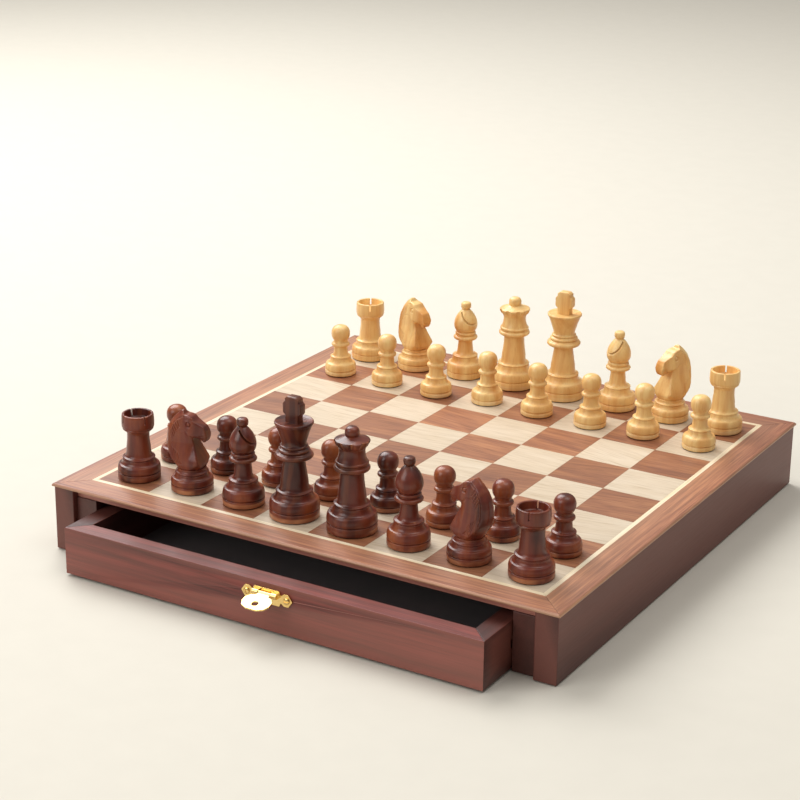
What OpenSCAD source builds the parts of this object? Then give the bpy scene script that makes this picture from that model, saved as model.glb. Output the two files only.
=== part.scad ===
// Magnetic chess set: inlaid board on a drawer case, two storage drawers and thirty-two men.
// Origin: centre of the case's underside. +X runs along the front edge, +Y towards the back.

/* [Board] */
// Length and width of the board over its border
board_w = 290; // [286:1:300]
// Height of the playing surface above the table
board_h = 36; // [36:1:44]
// Side of one playing square
square_w = 32; // [30:0.5:32]
// Width of the pale inlaid line round the squares
stringing_w = 2.4; // [1.6:0.1:3]
// Thickness of the border wood
border_t = 1.5; // [1.5:0.1:2]
// Chamfer on the border's outer top edge
border_arris = 0.7; // [0.3:0.1:0.9]
// Thickness of the square veneers
veneer_t = 1; // [0.8:0.1:1]
// Thickness of the steel sheet that holds the magnetic men
steel_t = 0.5; // [0.3:0.1:0.5]
// Thickness of the core panel
core_t = 4.5; // [4:0.5:5]
// Glue line between neighbouring veneers
glue_gap = 0.1; // [0.08:0.02:0.2]

/* [Case] */
// How far the border stands out past the case sides
lip = 1; // [0.5:0.5:2]
// How far the core panel stops short of the case's open ends
core_setback = 4; // [0:1:6]
// Thickness of each outer side wall
wall_t = 12; // [10:1:12]
// Width of the runner block inside each side wall
runner_w = 12.5; // [11:0.5:12.5]
// Height of the runner tongue that carries a drawer
tongue_h = 3.4; // [3:0.1:3.6]
// How far the tongue stands out of the runner block
tongue_w = 3.6; // [3:0.1:3.6]
// Thickness of the rail between the two drawer bays
spine_t = 10; // [8:1:12]

/* [Drawers] */
// How far the front drawer stands open
front_open = 23; // [0:1:60]
// How far the rear drawer stands open
rear_open = 0; // [0:1:60]
// Height of a drawer
drawer_h = 24.7; // [24.7:0.1:26]
// Thickness of the drawer front and sides
drawer_wall = 10; // [9:0.5:10]
// Thickness of the drawer back
drawer_back_t = 8; // [6:1:9]
// Thickness of the drawer bottom
drawer_bottom_t = 3; // [2.5:0.5:3]
// Thickness of the felt lining
felt_t = 1; // [0.8:0.1:1.2]
// Clearance beside a drawer
side_gap = 0.5; // [0.4:0.1:0.8]
// Clearance under a drawer
under_gap = 0.8; // [0.5:0.1:1]

/* [Pulls] */
// Width of the brass backplate over its points
plate_w = 29; // [27:0.5:30]
// Height of the backplate's middle
plate_h = 7.8; // [7.4:0.1:8.2]
// Thickness of the backplate
plate_t = 0.8; // [0.6:0.1:1]
// How far the pull sits to the right of the drawer's centre
pull_offset = 3; // [-6:1:6]
// Height of the backplate's centre above the table
pull_z = 19; // [17:0.5:20]
// Radius of the hinge pin
pin_r = 0.6; // [0.5:0.05:0.7]
// Radial clearance of the leaf on the pin
pin_gap = 0.05; // [0.04:0.01:0.08]
// Outer radius of the hinge knuckles
knuckle_r = 1.4; // [1.2:0.05:1.4]
// How far the front leaf is raised from hanging, in degrees
front_leaf_lift = 75; // [0:5:100]
// How far the rear leaf is raised from hanging, in degrees
rear_leaf_lift = 0; // [0:5:100]

/* [Men] */
// Height of a king
king_h = 62.5; // [60:0.5:64]
// Height of a queen
queen_h = 53.5; // [51:0.5:56]
// Height of a bishop
bishop_h = 45.2; // [44:0.2:48]
// Height of a knight
knight_h = 42.3; // [41:0.1:44]
// Height of a rook
rook_h = 34.8; // [33:0.2:37]
// Height of a pawn
pawn_h = 29.9; // [28.5:0.1:31]
// Thickness of the felt under each man
pad_t = 0.5; // [0.5:0.1:0.9]

/* [Hidden] */
$fn = 48;
SQUARES = 8;
CUT = 0.01;                       // overshoot that keeps a cut clear of the face it opens
PAD_GAP = 0.05;                   // glue film between a man's wood and its felt
MAGNET_GAP = 0.1;                 // clearance round a magnet in its recess

half_w = board_w / 2;
field_half = SQUARES * square_w / 2;
string_half = field_half + stringing_w;
veneer_z = board_h - veneer_t;
steel_z = veneer_z - steel_t;
case_half = half_w - lip;
wall_inner = case_half - wall_t;
bay_half = wall_inner - runner_w;
border_z = board_h - border_t;
core_z = steel_z - core_t;
runner_setback = 3;               // the runner blocks stop this far inside the case's ends

drawer_half = bay_half - side_gap;
drawer_z = under_gap;
drawer_top = drawer_z + drawer_h;
drawer_in_half = drawer_half - drawer_wall;
drawer_depth = case_half - spine_t / 2 - 2;
rebate = 5;                       // how far the bottom panel reaches into the walls
groove_d = 4;                     // depth of the runner groove in a drawer side
groove_h = tongue_h + 0.6;
groove_z = drawer_z + 12.4;       // centre height of groove and tongue
groove_start = 26;                // the groove stops this far behind the drawer's face
tongue_start = groove_start + 1;
tongue_end = drawer_depth - 1;

pin_len = 14.2;
leaf_knuckle_half = 3.4;
leaf_knuckle_r = 1.1;
plate_knuckle_in = 3.6;
plate_knuckle_out = 6.9;
axis_up = 1.6;                    // hinge axis above the backplate's centre
axis_out = plate_t + knuckle_r;   // hinge axis in front of the drawer's face
leaf_t = 0.9;
leaf_hole_r = 1.7;
leaf_hole_down = 8.3;
screw_x = 11.3;
screw_shank_r = 0.9;
screw_head_r = 1.7;
screw_len = 7.5;

MAHOGANY = "#5a2f2b";
WALNUT = "#95614a";
MAPLE = "#e8dbc2";
BOXWOOD = "#e3c288";
ROSEWOOD = "#4b2a22";
BRASS = "#d9ba72";
FELT = "#3f2a2a";
STEEL = "#8d8f92";

// Each man: name, kind, file and rank from the front left corner, how far its owner set it off
// the middle of its square, and how far it is turned about its own axis.
MEN = [
    ["dark_rook_left", "rook", 0, 0, [-0.7, -1.7], -26],
    ["dark_knight_left", "knight", 1, 0, [0, -0.5], 8],
    ["dark_bishop_left", "bishop", 2, 0, [0.5, -1.7], 5],
    ["dark_king", "king", 3, 0, [-1, -1.7], 0],
    ["dark_queen", "queen", 4, 0, [0, -1.2], 0],
    ["dark_bishop_right", "bishop", 5, 0, [0.5, -2.2], 120],
    ["dark_knight_right", "knight", 6, 0, [1, -1.2], 168],
    ["dark_rook_right", "rook", 7, 0, [2.8, -2.7], -78],
    ["dark_pawn_1", "pawn", 0, 1, [0.5, -2.2], 0],
    ["dark_pawn_2", "pawn", 1, 1, [0.5, -2.2], 0],
    ["dark_pawn_3", "pawn", 2, 1, [0.5, -2.2], 0],
    ["dark_pawn_4", "pawn", 3, 1, [0.5, -2.2], 0],
    ["dark_pawn_5", "pawn", 4, 1, [0.5, -0.7], 0],
    ["dark_pawn_6", "pawn", 5, 1, [1.8, -2.5], 0],
    ["dark_pawn_7", "pawn", 6, 1, [1.8, -2], 0],
    ["dark_pawn_8", "pawn", 7, 1, [3, -2.7], 0],
    ["light_pawn_1", "pawn", 0, 6, [-0.8, -1.2], 0],
    ["light_pawn_2", "pawn", 1, 6, [-0.3, -2.2], 0],
    ["light_pawn_3", "pawn", 2, 6, [0.9, -2.9], 0],
    ["light_pawn_4", "pawn", 3, 6, [-0.3, 1.8], 0],
    ["light_pawn_5", "pawn", 4, 6, [0.7, -0.7], 0],
    ["light_pawn_6", "pawn", 5, 6, [1.7, -0.7], 0],
    ["light_pawn_7", "pawn", 6, 6, [1.2, 0.3], 0],
    ["light_pawn_8", "pawn", 7, 6, [2.2, -0.2], 0],
    ["light_rook_left", "rook", 0, 7, [-1.8, 1.3], 30],
    ["light_knight_left", "knight", 1, 7, [-0.8, -0.2], -20],
    ["light_bishop_left", "bishop", 2, 7, [-1.3, 2.8], -20],
    ["light_queen", "queen", 3, 7, [-1.3, 2.8], 10],
    ["light_king", "king", 4, 7, [-0.8, 1.3], 0],
    ["light_bishop_right", "bishop", 5, 7, [1.7, 1.3], -120],
    ["light_knight_right", "knight", 6, 7, [2.2, 0.8], -112],
    ["light_rook_right", "rook", 7, 7, [2.2, -0.2], 20],
];

// ---------- Board ----------

// A box centred on the origin in X and Y, from height z up
module slab(x_half, y_half, z, height)
    translate([-x_half, -y_half, z])
        cube([2 * x_half, 2 * y_half, height]);

module core_panel()
    color(MAHOGANY)
        slab(wall_inner, half_w - lip - core_setback, core_z, core_t);

module steel_sheet()
    color(STEEL)
        slab(string_half, string_half, steel_z, steel_t);

// The squares of one colour; parity 0 holds the front left corner
module squares(parity)
    for (file = [0:SQUARES - 1])
        for (rank = [0:SQUARES - 1])
            if ((file + rank) % 2 == parity)
                translate([file * square_w - field_half + glue_gap / 2,
                           rank * square_w - field_half + glue_gap / 2,
                           veneer_z])
                    cube([square_w - glue_gap, square_w - glue_gap, veneer_t]);

module walnut_squares()
    color(WALNUT)
        squares(0);

module maple_squares()
    color(MAPLE)
        squares(1);

// One mitred strip of a square frame, lying along the front edge
module mitred_strip(inner, outer, z, height)
    translate([0, 0, z])
        linear_extrude(height)
            polygon([
                [-outer + glue_gap, -outer],
                [outer - glue_gap, -outer],
                [inner - glue_gap, -inner],
                [-inner + glue_gap, -inner],
            ]);

// A strip repeated round the four sides
module all_round()
    for (side = [0:3])
        rotate([0, 0, 90 * side])
            children();

module maple_stringing()
    color(MAPLE)
        all_round()
            mitred_strip(field_half, string_half, veneer_z, veneer_t);

module border_rails()
    color(WALNUT)
        all_round()
            difference() {
                mitred_strip(string_half, half_w, border_z, border_t);
                translate([-half_w - 1, -half_w, board_h])
                    rotate([45, 0, 0])
                        translate([0, -border_arris, -border_arris / sqrt(2)])
                            cube([board_w + 2, 2 * border_arris, 2 * border_arris]);
            }

// ---------- Case ----------

module side_wall(side)
    color(MAHOGANY)
        translate([side > 0 ? wall_inner : -case_half, -case_half, 0])
            cube([wall_t, 2 * case_half, border_z]);

module left_wall()
    side_wall(-1);

module right_wall()
    side_wall(1);

// A runner block on one side, with a tongue for each drawer
module runner_block(side)
    union() {
        translate([side > 0 ? bay_half : -wall_inner, runner_setback - case_half, 0])
            cube([runner_w, 2 * (case_half - runner_setback), core_z]);
        for (bay = [-1, 1])
            translate([side > 0 ? bay_half - tongue_w : -bay_half - 1,
                       bay > 0 ? case_half - tongue_end : -case_half + tongue_start,
                       groove_z - tongue_h / 2])
                cube([tongue_w + 1, tongue_end - tongue_start, tongue_h]);
    }

module runner_blocks()
    color(MAHOGANY)
        for (side = [-1, 1])
            runner_block(side);

module centre_spine()
    color(MAHOGANY)
        slab(bay_half, spine_t / 2, 0, core_z);

// ---------- Drawers, in their own frame: face at y = 0, depth towards +Y ----------

module at_front() translate([0, -case_half - front_open, 0]) children();
module at_rear() rotate([0, 0, 180]) translate([0, -case_half - rear_open, 0]) children();

// Pilot holes for the two pull screws
module pilot_holes()
    for (side = [-1, 1])
        translate([pull_offset + side * screw_x, 0, pull_z])
            rotate([-90, 0, 0])
                translate([0, 0, -CUT])
                    cylinder(h = screw_len + 0.5, r = screw_shank_r + 0.05);

module drawer_front()
    color(MAHOGANY)
        difference() {
            translate([0, 0, drawer_z])
                linear_extrude(drawer_h)
                    polygon([
                        [-drawer_half, 0],
                        [drawer_half, 0],
                        [drawer_in_half, drawer_wall],
                        [-drawer_in_half, drawer_wall],
                    ]);
            bottom_rebate();
            pilot_holes();
        }

// The space that the bottom panel takes out of the walls
module bottom_rebate()
    translate([-drawer_in_half - rebate, drawer_wall - rebate, drawer_z - CUT])
        cube([2 * (drawer_in_half + rebate), drawer_depth, drawer_bottom_t + CUT]);

module drawer_side(side)
    mirror([side > 0 ? 0 : 1, 0, 0])
        difference() {
            translate([0, 0, drawer_z])
                linear_extrude(drawer_h)
                    polygon([
                        [drawer_half, 0],
                        [drawer_half, drawer_depth],
                        [drawer_in_half, drawer_depth],
                        [drawer_in_half, drawer_wall],
                    ]);
            bottom_rebate();
            translate([drawer_half - groove_d, groove_start, groove_z - groove_h / 2])
                cube([groove_d + 1, drawer_depth, groove_h]);
        }

module drawer_sides()
    color(MAHOGANY)
        for (side = [-1, 1])
            drawer_side(side);

module drawer_back()
    color(MAHOGANY)
        translate([-drawer_in_half, drawer_depth - drawer_back_t, drawer_z + drawer_bottom_t])
            cube([2 * drawer_in_half, drawer_back_t, drawer_h - drawer_bottom_t]);

module drawer_bottom()
    color(MAHOGANY)
        translate([-drawer_in_half - rebate, drawer_wall - rebate, drawer_z])
            cube([2 * (drawer_in_half + rebate), drawer_depth - drawer_wall + rebate, drawer_bottom_t]);

module drawer_felt()
    color(FELT)
        translate([-drawer_in_half + 0.2, drawer_wall + 0.2, drawer_z + drawer_bottom_t])
            cube([2 * drawer_in_half - 0.4, drawer_depth - drawer_wall - drawer_back_t - 0.4, felt_t]);

// ---------- Pulls, in the drawer's frame ----------

// A tube along X between two distances from the middle of the pull
module bar_x(x_from, x_to, r)
    translate([x_from, 0, 0])
        rotate([0, 90, 0])
            cylinder(h = x_to - x_from, r = r);

module at_hinge()
    translate([pull_offset, -axis_out, pull_z + axis_up])
        children();

module pull_plate()
    color(BRASS)
        difference() {
            union() {
                translate([pull_offset, 0, pull_z])
                    rotate([90, 0, 0])
                        linear_extrude(plate_t)
                            plate_outline();
                at_hinge()
                    for (side = [-1, 1])
                        mirror([side > 0 ? 0 : 1, 0, 0]) {
                            bar_x(plate_knuckle_in, plate_knuckle_out, knuckle_r);
                            translate([plate_knuckle_in, 0, -knuckle_r])
                                cube([plate_knuckle_out - plate_knuckle_in,
                                      axis_out - plate_t / 2, 2 * knuckle_r]);
                        }
            }
            at_hinge()
                bar_x(-pin_len, pin_len, pin_r);
            for (side = [-1, 1])
                translate([pull_offset + side * screw_x, CUT, pull_z])
                    rotate([90, 0, 0])
                        cylinder(h = plate_t + 2 * CUT, r = screw_shank_r + 0.05);
        }

// A plain middle and two pointed ears, joined by narrow necks
module plate_outline() {
    middle = plate_h / 2;
    ear = 3.2;
    neck = 1.9;
    half = [[plate_w / 2, 0], [12.2, ear], [9.8, ear], [8, neck], [7.1, middle]];
    upper = concat(half, [for (k = [4:-1:0]) [-half[k][0], half[k][1]]]);
    lower = [for (k = [8:-1:1]) [upper[k][0], -upper[k][1]]];
    polygon(concat(upper, lower));
}

// The drop leaf, hanging from the hinge axis at the origin
module leaf_shape()
    difference() {
        union() {
            bar_x(-leaf_knuckle_half, leaf_knuckle_half, leaf_knuckle_r);
            translate([0, leaf_t / 2, 0])
                rotate([90, 0, 0])
                    linear_extrude(leaf_t)
                        leaf_outline();
        }
        bar_x(-pin_len, pin_len, pin_r + pin_gap);
        translate([0, leaf_t, -leaf_hole_down])
            rotate([90, 0, 0])
                cylinder(h = 2 * leaf_t, r = leaf_hole_r);
    }

module leaf_outline() {
    right = [[leaf_knuckle_half, 0], [leaf_knuckle_half, -2.1], [5.8, -2.9], [7.5, -5.2],
             [7.7, -7.9], [6.3, -10.8], [3.1, -12.4]];
    polygon(concat(right, [for (k = [6:-1:0]) [-right[k][0], right[k][1]]]));
}

module pull_leaf(lift)
    color(BRASS)
        at_hinge()
            rotate([-lift, 0, 0])
                leaf_shape();

module pull_pin()
    color(BRASS)
        at_hinge()
            bar_x(-pin_len / 2, pin_len / 2, pin_r);

module pull_screws()
    color(BRASS)
        for (side = [-1, 1])
            translate([pull_offset + side * screw_x, -plate_t, pull_z])
                rotate([-90, 0, 0])
                    union() {
                        cylinder(h = screw_len + plate_t, r = screw_shank_r);
                        intersection() {
                            translate([0, 0, 0.9])
                                sphere(r = 1.9);
                            translate([0, 0, -1])
                                cylinder(h = 1, r = screw_head_r);
                        }
                    }

// ---------- Men, in their own frame: axis on Z, foot on z = 0 ----------

// Convex quarter curve from (r0, z0) inwards and up to (r1, z1)
function swell(r0, z0, r1, z1, steps = 5) =
    [for (k = [0:steps]) let (a = 90 * k / steps) [r1 + (r0 - r1) * cos(a), z0 + (z1 - z0) * sin(a)]];

// Concave quarter curve from (r0, z0), level at first and upright at (r1, z1)
function cove(r0, z0, r1, z1, steps = 5, first = 0) =
    [for (k = [first:steps]) let (a = 90 * k / steps) [r0 + (r1 - r0) * sin(a), z0 + (z1 - z0) * (1 - cos(a))]];

// Part of a circle of radius r about (0, z), from angle a0 to a1 above the level
function ball(r, z, a0, a1, steps = 9) =
    [for (k = [0:steps]) let (a = a0 + (a1 - a0) * k / steps) [r * cos(a), z + r * sin(a)]];

// The foot that every man has: a plain band, a scribed groove, a swelling and a small ring
function foot(r, band, ring_r, ring_z) =
    let (shelf_r = r - 0.36 * (r - ring_r), shelf_z = band + 0.52 * (ring_z - band))
    concat(
        [[0, pad_t + PAD_GAP], [r - 0.4, pad_t + PAD_GAP], [r, pad_t + 0.5], [r, band - 0.3],
         [r - 0.5, band]],
        swell(r, band + 0.9, shelf_r, shelf_z),
        cove(shelf_r, shelf_z, ring_r + 0.1, ring_z - 1.3, first = 1),
        [[ring_r + 0.3, ring_z - 1], [ring_r + 0.3, ring_z - 0.3], [ring_r - 0.4, ring_z]]
    );

// A rounded collar of radius r between two heights
function collar(r, z0, z1) =
    [[r - 0.7, z0], [r, z0 + (z1 - z0) * 0.35], [r, z0 + (z1 - z0) * 0.65], [r - 0.7, z1]];

module turned(profile)
    rotate_extrude()
        polygon(profile);

// Wood with a magnet recess, then the magnet and the felt pad as their own solids
module man(r, magnet_r, magnet_h, tint) {
    magnet_z = pad_t + 0.4;
    color(tint)
        difference() {
            children();
            translate([0, 0, pad_t])
                cylinder(h = magnet_z - pad_t + magnet_h + MAGNET_GAP, r = magnet_r + MAGNET_GAP);
        }
    color(STEEL)
        translate([0, 0, magnet_z])
            cylinder(h = magnet_h, r = magnet_r);
    color(FELT)
        cylinder(h = pad_t, r = r - 0.5);
}

module pawn(tint) {
    r = 9.05;
    ball_r = 5.4;
    ball_z = pawn_h - ball_r;
    man(r, 4, 3, tint)
        turned(concat(
            foot(r, 3, 6, 11.6),
            cove(5.4, 11.6, 4.1, 15.2),
            [[3.9, 16.8]],
            collar(5.1, 17.2, 19.2),
            ball(ball_r, ball_z, -44, 90)
        ));
}

module rook(tint) {
    r = 11;
    cup_r = 6.7;
    cup_d = 3.6;
    head_z = rook_h - 7.6;
    man(r, 5, 4, tint)
        difference() {
            turned(concat(
                foot(r, 4, 8.3, 11.4),
                cove(7.6, 11.4, 6, 16.5),
                [[5.7, head_z - 2.6], [5.9, head_z - 2.2]],
                [[8, head_z], [8.3, head_z + 0.8], [8.1, rook_h], [cup_r, rook_h],
                 [cup_r - 0.3, rook_h - cup_d], [0, rook_h - cup_d]]
            ));
            for (slot = [0:3])
                rotate([0, 0, 90 * slot])
                    translate([cup_r - 1.5, -0.6, rook_h - cup_d])
                        cube([4, 1.2, cup_d + 1]);
        }
}

module bishop(tint) {
    r = 10.6;
    top_r = 2.9;
    mitre_z = 31.8;
    man(r, 5, 4, tint)
        difference() {
            turned(concat(
                foot(r, 4, 7.2, 13.4),
                cove(6.4, 13.4, 4.5, 17.5),
                [[4.2, 22.6]],
                collar(7, 23.2, 25.4),
                [[5.3, 25.9], [5.8, 26.4], [6, 27], [5.4, 27.6], [5, 28]],
                [for (a = [-30:12:66]) [6.8 * cos(a), mitre_z + (a > 0 ? 9.6 : 6.2) * sin(a)]],
                [[2.3, bishop_h - 4.2]],
                ball(top_r, bishop_h - top_r, -35, 90)
            ));
            translate([1.6, -8, 35.6])
                rotate([0, 32, 0])
                    cube([9, 16, 1.1]);
        }
}

module queen(tint) {
    r = 12.5;
    rim_r = 8.6;
    rim_z = queen_h - 7.2;
    points = 9;
    man(r, 6, 5, tint)
        difference() {
            turned(concat(
                foot(r, 5, 9, 15),
                cove(8.2, 15, 6.9, 19.5),
                [[6, 24], [5.5, 29], [5.6, 31.2]],
                collar(9, 31.6, 34.3),
                [[8.1, 34.8], [8.2, 36], [7.5, 36.8], [7.2, 38], [6.6, 40.5], [6.7, 43]],
                [[rim_r - 0.4, rim_z - 1.6], [rim_r, rim_z - 0.6], [rim_r - 0.3, rim_z + 0.6],
                 [rim_r - 1.6, rim_z + 1.4], [4, rim_z + 0.9], [3, queen_h - 5.7]],
                ball(3.5, queen_h - 3.5, -30, 90)
            ));
            for (k = [0:points - 1])
                rotate([0, 0, (k + 0.5) * 360 / points])
                    translate([rim_r - 2.4, 0, rim_z + 2.3])
                        rotate([0, 78, 0])
                            cylinder(h = 6, r = 1.5);
        }
}

module king(tint) {
    r = 12.5;
    rim_r = 9.7;
    rim_z = king_h - 12.6;
    man(r, 6, 5, tint)
        union() {
            turned(concat(
                foot(r, 5, 9.1, 14.6),
                cove(8.3, 14.6, 7, 19),
                [[5.9, 24], [5.3, 29], [5.5, 30.8]],
                collar(9.5, 31.2, 34.2),
                [[8.4, 34.9], [8.3, 36.2], [7.2, 37], [7, 38.2], [6.8, 39.2]],
                [[rim_r - 0.4, rim_z - 1], [rim_r, rim_z - 0.2], [rim_r - 0.5, rim_z],
                 [0, rim_z - 0.6]]
            ));
            finial(rim_z - 1);
        }
}

// A blunt cross cut from one block, arms along X
module finial(z) {
    depth = 4.7;
    top = king_h - z;
    translate([0, depth / 2, z])
        rotate([90, 0, 0])
            linear_extrude(depth)
                polygon([
                    [-4.5, 0], [4.5, 0], [4.5, top - 9.4], [5.4, top - 8.6], [5.4, top - 3.4],
                    [4.5, top - 2.8], [4.5, top - 1], [2.6, top], [-2.6, top], [-4.5, top - 1],
                    [-4.5, top - 2.8], [-5.4, top - 3.4], [-5.4, top - 8.6], [-4.5, top - 9.4],
                ]);
}

module knight(tint) {
    r = 10.8;
    neck_z = 12.6;
    man(r, 5, 4, tint)
        union() {
            turned(concat(
                foot(r, 4, 8.2, 10.6),
                [[7.6, 10.8], [7.3, 11.4], [7.3, neck_z], [0, neck_z]]
            ));
            intersection() {
                horse_side(neck_z - 0.6);
                horse_front(neck_z - 0.7);
            }
        }
}

// The horse's head and neck from the side, nose towards +X
module horse_side(z)
    translate([0, 9, z])
        rotate([90, 0, 0])
            linear_extrude(18)
                polygon([
                    [-6.4, 0], [5.4, 0], [6.7, 1], [7.3, 2.6], [7.1, 4], [2.7, 16], [3.8, 17.3],
                    [6.6, 16.6], [8, 15], [8.9, 15.2], [9.8, 17.4], [9.4, 20.8], [8.2, 22.9],
                    [2.6, 25.6], [-0.2, 27.5], [-2.4, 27.8], [-3.5, knight_h - z],
                    [-4.8, knight_h - z - 0.6], [-7.4, 27.6], [-10.2, 24.6], [-12, 20.9],
                    [-12.9, 16.8], [-12.9, 12.4], [-12, 7.8], [-10.4, 3.8], [-8.5, 1.2],
                ]);

// The same from the front: wide at the chest, narrow at the ears
module horse_front(z)
    translate([-14, 0, z])
        rotate([90, 0, 90])
            linear_extrude(28)
                polygon([[-6.2, 0], [6.2, 0], [7.1, 2], [6.9, 5.4], [5, 14.4], [4.7, 20], [4, 25],
                     [2.6, 31], [-2.6, 31], [-4, 25], [-4.7, 20], [-5, 14.4], [-6.9, 5.4],
                     [-7.1, 2]]);

// A man of the given kind, standing on its square
module place_man(entry) {
    tint = entry[3] < SQUARES / 2 ? ROSEWOOD : BOXWOOD;
    kind = entry[1];
    translate([(entry[2] + 0.5) * square_w - field_half + entry[4][0],
               (entry[3] + 0.5) * square_w - field_half + entry[4][1],
               board_h])
        rotate([0, 0, entry[5]]) {
            if (kind == "pawn") pawn(tint);
            if (kind == "rook") rook(tint);
            if (kind == "knight") knight(tint);
            if (kind == "bishop") bishop(tint);
            if (kind == "queen") queen(tint);
            if (kind == "king") king(tint);
        }
}

// ---------- Nodes ----------

core_panel();
steel_sheet();
walnut_squares();
maple_squares();
maple_stringing();
border_rails();
left_wall();
right_wall();
runner_blocks();
centre_spine();
at_front() drawer_front();  // front_drawer_front
at_front() drawer_sides();  // front_drawer_sides
at_front() drawer_back();  // front_drawer_back
at_front() drawer_bottom();  // front_drawer_bottom
at_front() drawer_felt();  // front_drawer_felt
at_rear() drawer_front();  // rear_drawer_front
at_rear() drawer_sides();  // rear_drawer_sides
at_rear() drawer_back();  // rear_drawer_back
at_rear() drawer_bottom();  // rear_drawer_bottom
at_rear() drawer_felt();  // rear_drawer_felt
at_front() pull_plate();  // front_pull_plate
at_front() pull_leaf(front_leaf_lift);  // front_pull_leaf
at_front() pull_pin();  // front_pull_pin
at_front() pull_screws();  // front_pull_screws
at_rear() pull_plate();  // rear_pull_plate
at_rear() pull_leaf(rear_leaf_lift);  // rear_pull_leaf
at_rear() pull_pin();  // rear_pull_pin
at_rear() pull_screws();  // rear_pull_screws
for (man = MEN)
    place_man(man);
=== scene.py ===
"""An inlaid chess board on a case with two drawers, and thirty-two men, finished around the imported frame."""

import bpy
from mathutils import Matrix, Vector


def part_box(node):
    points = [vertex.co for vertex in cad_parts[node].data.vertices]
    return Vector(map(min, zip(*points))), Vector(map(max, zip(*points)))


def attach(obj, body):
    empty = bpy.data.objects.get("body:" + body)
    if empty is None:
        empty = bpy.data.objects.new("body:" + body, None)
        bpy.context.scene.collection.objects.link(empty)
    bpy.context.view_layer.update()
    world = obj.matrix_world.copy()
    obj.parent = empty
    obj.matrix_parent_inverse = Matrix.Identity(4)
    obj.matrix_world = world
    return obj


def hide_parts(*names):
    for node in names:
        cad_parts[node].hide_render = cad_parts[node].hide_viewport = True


bl_info = {
    "name": "Inlaid chess set", "version": (1, 0, 0), "blender": (4, 2, 0),
    "location": "3D View > Sidebar > Chess set",
    "description": "Finishes an inlaid chess board, its drawers, its brass pulls and its turned men",
    "category": "Add Mesh",
}

import math

import bmesh
import bpy
from bpy.props import FloatProperty, FloatVectorProperty, PointerProperty
from mathutils import Matrix, Vector

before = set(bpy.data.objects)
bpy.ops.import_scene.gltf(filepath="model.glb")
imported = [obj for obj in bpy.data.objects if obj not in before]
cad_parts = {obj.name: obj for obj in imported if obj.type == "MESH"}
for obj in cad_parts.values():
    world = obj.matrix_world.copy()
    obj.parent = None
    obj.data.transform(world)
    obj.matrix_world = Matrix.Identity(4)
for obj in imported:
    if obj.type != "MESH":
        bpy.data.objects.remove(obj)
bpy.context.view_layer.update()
MM = 0.001
PLAY_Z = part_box("walnut_squares")[1].z
BORDER_LOW, BORDER_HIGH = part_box("border_rails")
SQUARE = 32 * MM
PAD_T = 0.4  # felt under a man, in mm
ROUGH_GRAIN, FINE_GRAIN = 0.42 * MM, 0.27 * MM  # remesh steps of the knights' heads
FLOOR_SIZE, FLOOR_DROP = 6, 0.0005  # metres

# How far each man is turned about its own axis, in degrees, where it isn't square to the board
TURNS = {
    "dark_rook_left": -26, "dark_rook_right": -78, "dark_bishop_left": 5, "dark_bishop_right": 120,
    "dark_knight_left": 8, "dark_knight_right": 168, "light_rook_left": 30, "light_rook_right": 20,
    "light_bishop_left": -20, "light_bishop_right": -120, "light_queen": 10, "light_knight_left": -20,
    "light_knight_right": -112,
}


# ---------- Colours and nodes ----------


def linear(hex_colour):
    """A hex sRGB colour as the linear values that shaders use."""
    parts = [int(hex_colour[i : i + 2], 16) / 255 for i in (1, 3, 5)]
    return tuple(c / 12.92 if c <= 0.04045 else ((c + 0.055) / 1.055) ** 2.4 for c in parts)


def add_node(tree, kind, settings=None, links=None):
    """Adds a node, sets its options and gives its inputs values or other nodes' outputs.
    "stops" fills a colour ramp."""
    made = tree.nodes.new("ShaderNode" + kind)
    for name, value in (settings or {}).items():
        if name == "stops":
            stops = made.color_ramp.elements
            while len(stops) < len(value):
                stops.new(1)
            for stop, (place, colour) in zip(stops, value):
                stop.position = place
                stop.color = (*colour, 1) if len(colour) == 3 else colour
        else:
            setattr(made, name, value)
    for socket, value in (links or {}).items():
        if isinstance(value, bpy.types.NodeSocket):
            tree.links.new(value, made.inputs[socket])
        else:
            made.inputs[socket].default_value = value
    return made


def new_material(name):
    """An empty node material with a Principled shader on its output."""
    made = bpy.data.materials.new(name)
    made.use_nodes = True
    tree = made.node_tree
    tree.nodes.clear()
    shader = add_node(tree, "BsdfPrincipled")
    add_node(tree, "OutputMaterial", {}, {"Surface": shader.outputs["BSDF"]})
    return made, tree, shader


def give(obj, material):
    """Makes a material the piece's only one."""
    obj.data.materials.clear()
    obj.data.materials.append(material)
    return obj


def surface(tree, shader, colour, rough, bump):
    """Colour, roughness and relief. rough is a pattern and the range it is spread over. bump is a pattern,
    its strength and its depth in mm."""
    spread = add_node(tree, "MapRange", {}, {"Value": rough[0], "To Min": rough[1], "To Max": rough[2]})
    relief = add_node(tree, "Bump", {}, {"Strength": bump[1], "Distance": bump[2] * MM, "Height": bump[0]})
    tree.links.new(colour, shader.inputs["Base Color"])
    tree.links.new(spread.outputs["Result"], shader.inputs["Roughness"])
    tree.links.new(relief.outputs["Normal"], shader.inputs["Normal"])


def lacquer(shader, ior, gloss):
    """Clear lacquer over wood. gloss is the wood's roughness, the lacquer's weight and its roughness."""
    shader.inputs["IOR"].default_value = ior
    shader.inputs["Coat Weight"].default_value = gloss[1]
    shader.inputs["Coat Roughness"].default_value = gloss[2]


def grain(tree, place, stretch, size_mm, settings):
    """A cloudy pattern drawn out along the grain, where stretch is under 1."""
    drawn = add_node(tree, "Mapping", {}, {"Vector": place, "Scale": stretch}).outputs["Vector"]
    clouds = add_node(tree, "TexNoise", {}, {"Vector": drawn, "Scale": 1 / (size_mm * MM), **settings})
    return clouds.outputs["Fac"]


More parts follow.
